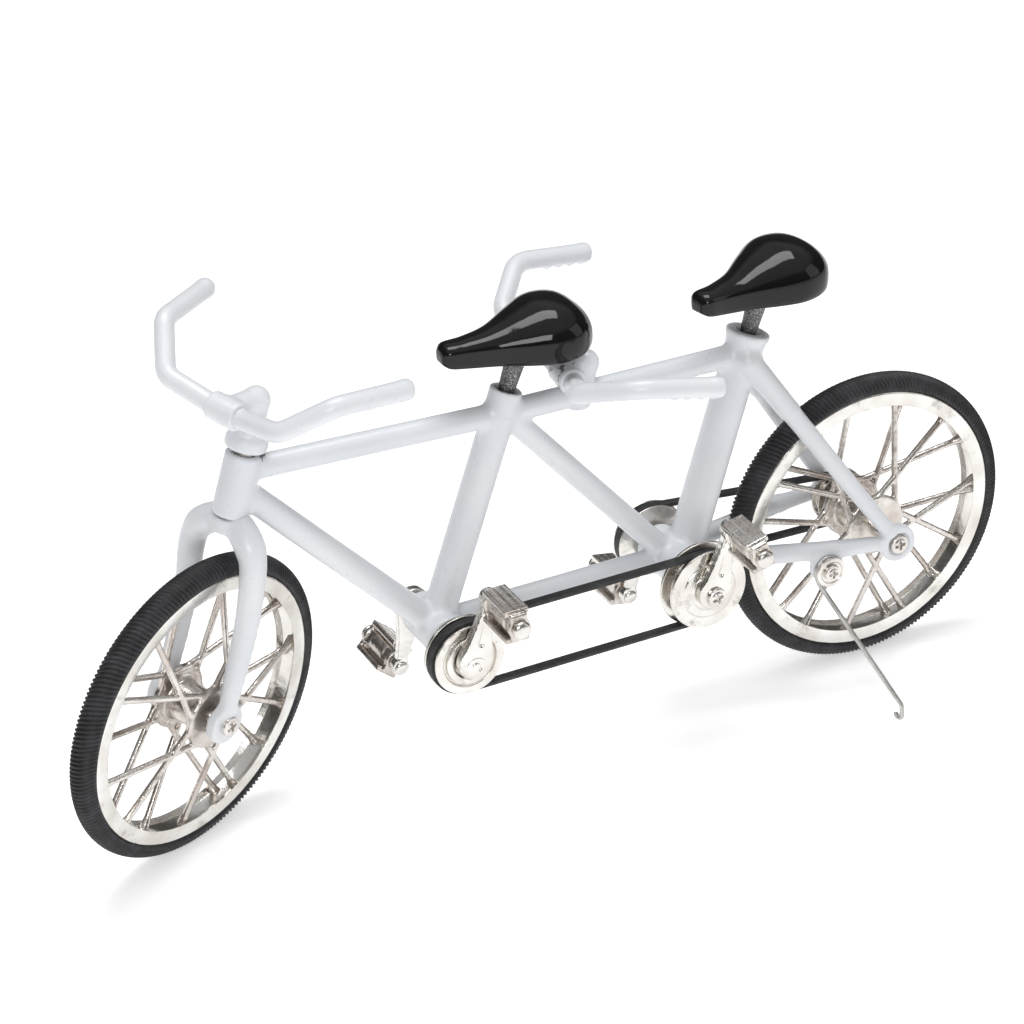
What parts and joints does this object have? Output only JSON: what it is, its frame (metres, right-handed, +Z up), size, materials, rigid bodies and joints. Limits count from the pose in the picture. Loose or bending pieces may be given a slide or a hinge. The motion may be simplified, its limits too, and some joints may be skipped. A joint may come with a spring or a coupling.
{
  "type": "miniature tandem bicycle",
  "caption": "Miniature die-cast tandem bicycle: long tube frame with saddles and handlebars in line, crossed-spoke wheels, belt-driven cranks and a wire kickstand.",
  "frame": {"origin": "point on the ground under the rear axle, in the mid-plane of the rear wheel and frame", "axes": "+X towards the front of the bicycle, +Y to the rider's left, +Z up"},
  "size_m": [0.1965, 0.0639, 0.1006],
  "materials": {
    "white_paint": "thick satin-gloss white paint on a casting",
    "nickel": "bright nickel plating on a casting, slightly warm and uneven",
    "tyre_rubber": "matt black rubber with fine slanting ribs",
    "belt_rubber": "matt black rubber",
    "saddle_black": "moulded gloss black",
    "post_steel": "dull dark plated steel",
    "stand_wire": "dull drawn steel wire"
  },
  "bodies": {
    "frame": {"head_tube": "white_paint", "top_tube_front": "white_paint", "top_tube_rear": "white_paint", "down_tube": "white_paint", "diagonal_tube": "white_paint", "boom_tube": "white_paint", "front_seat_tube": "white_paint", "rear_seat_tube": "white_paint", "front_bracket": "white_paint", "rear_bracket": "white_paint", "chain_stay_left": "white_paint", "chain_stay_right": "white_paint", "seat_stay_left": "white_paint", "seat_stay_right": "white_paint", "rear_axle": "nickel", "rear_axle_screws": "nickel", "kickstand_screw": "nickel", "stoker_stem": "white_paint", "stoker_handlebar": "white_paint", "timing_belt": "belt_rubber", "drive_belt": "belt_rubber"},
    "steering": {"fork": "white_paint", "stem": "white_paint", "captain_handlebar": "white_paint", "front_axle": "nickel", "front_axle_screws": "nickel"},
    "front_wheel": {"front_rim": "nickel", "front_tyre": "tyre_rubber", "front_hub": "nickel", "front_spokes": "nickel"},
    "rear_wheel": {"rear_rim": "nickel", "rear_tyre": "tyre_rubber", "rear_hub": "nickel", "rear_spokes": "nickel", "rear_hub_pulley": "nickel"},
    "front_crankset": {"front_crank_axle": "nickel", "front_timing_pulley": "nickel", "front_left_crank": "nickel", "front_right_crank": "nickel", "front_pedal_pins": "nickel", "front_crank_screw": "nickel"},
    "rear_crankset": {"rear_crank_axle": "nickel", "rear_timing_pulley": "nickel", "rear_drive_pulley": "nickel", "rear_left_crank": "nickel", "rear_right_crank": "nickel", "rear_pedal_pins": "nickel", "rear_crank_screw": "nickel"},
    "front_left_pedal": {"front_left_pedal": "nickel"},
    "front_right_pedal": {"front_right_pedal": "nickel"},
    "rear_left_pedal": {"rear_left_pedal": "nickel"},
    "rear_right_pedal": {"rear_right_pedal": "nickel"},
    "front_post": {"front_seat_post": "post_steel"},
    "front_seat": {"front_saddle": "saddle_black"},
    "rear_post": {"rear_seat_post": "post_steel"},
    "rear_seat": {"rear_saddle": "saddle_black"},
    "kickstand": {"kickstand": "stand_wire"}
  },
  "joints": [
    {"name": "steering_turn", "type": "hinge", "parent": "frame", "child": "steering", "pos_m": [0.1295, 0, 0.067], "axis": [-0.306, 0, 0.952], "range_deg": [-69.9, 20.1]},
    {"name": "front_wheel_spin", "type": "hinge", "parent": "steering", "child": "front_wheel", "pos_m": [0.13884, -0.00116, 0.02977], "axis": [-0.4008, 0.907, -0.1288], "continuous": true},
    {"name": "rear_wheel_spin", "type": "hinge", "parent": "frame", "child": "rear_wheel", "pos_m": [0, 0, 0.03], "axis": [0, 1, 0], "continuous": true},
    {"name": "front_crank_spin", "type": "hinge", "parent": "frame", "child": "front_crankset", "pos_m": [0.0913, 0, 0.0328], "axis": [0, 1, 0], "continuous": true},
    {"name": "rear_crank_spin", "type": "hinge", "parent": "frame", "child": "rear_crankset", "pos_m": [0.042, 0, 0.0328], "axis": [0, 1, 0], "continuous": true},
    {"name": "front_left_pedal_spin", "type": "hinge", "parent": "front_crankset", "child": "front_left_pedal", "pos_m": [0.08781, 0.0227, 0.04584], "axis": [0, 1, 0], "continuous": true},
    {"name": "front_right_pedal_spin", "type": "hinge", "parent": "front_crankset", "child": "front_right_pedal", "pos_m": [0.09479, -0.0167, 0.01976], "axis": [0, 1, 0], "continuous": true},
    {"name": "rear_left_pedal_spin", "type": "hinge", "parent": "rear_crankset", "child": "rear_left_pedal", "pos_m": [0.03851, 0.0227, 0.04584], "axis": [0, 1, 0], "continuous": true},
    {"name": "rear_right_pedal_spin", "type": "hinge", "parent": "rear_crankset", "child": "rear_right_pedal", "pos_m": [0.04549, -0.0182, 0.01976], "axis": [0, 1, 0], "continuous": true},
    {"name": "front_post_slide", "type": "slide", "parent": "frame", "child": "front_post", "axis": [-0.3477, 0, 0.9376], "range_m": [-0.002, 0.004]},
    {"name": "front_saddle_turn", "type": "hinge", "parent": "front_post", "child": "front_seat", "pos_m": [0.075, 0, 0.0773], "axis": [-0.3477, 0, 0.9376], "range_deg": [-30, 30]},
    {"name": "rear_post_slide", "type": "slide", "parent": "frame", "child": "rear_post", "axis": [-0.3149, 0, 0.9491], "range_m": [-0.002, 0.004]},
    {"name": "rear_saddle_turn", "type": "hinge", "parent": "rear_post", "child": "rear_seat", "pos_m": [0.0252, 0, 0.0762], "axis": [-0.3149, 0, 0.9491], "range_deg": [-43, 17]},
    {"name": "kickstand_fold", "type": "hinge", "parent": "frame", "child": "kickstand", "pos_m": [0.0153, 0.01265, 0.0286], "axis": [0, 1, 0], "range_deg": [0, 75]}
  ],
  "couplings": [
    {"joint": "rear_crank_spin", "follows": "rear_wheel_spin", "ratio": 0.75182},
    {"joint": "front_crank_spin", "follows": "rear_wheel_spin", "ratio": 0.75182}
  ]
}
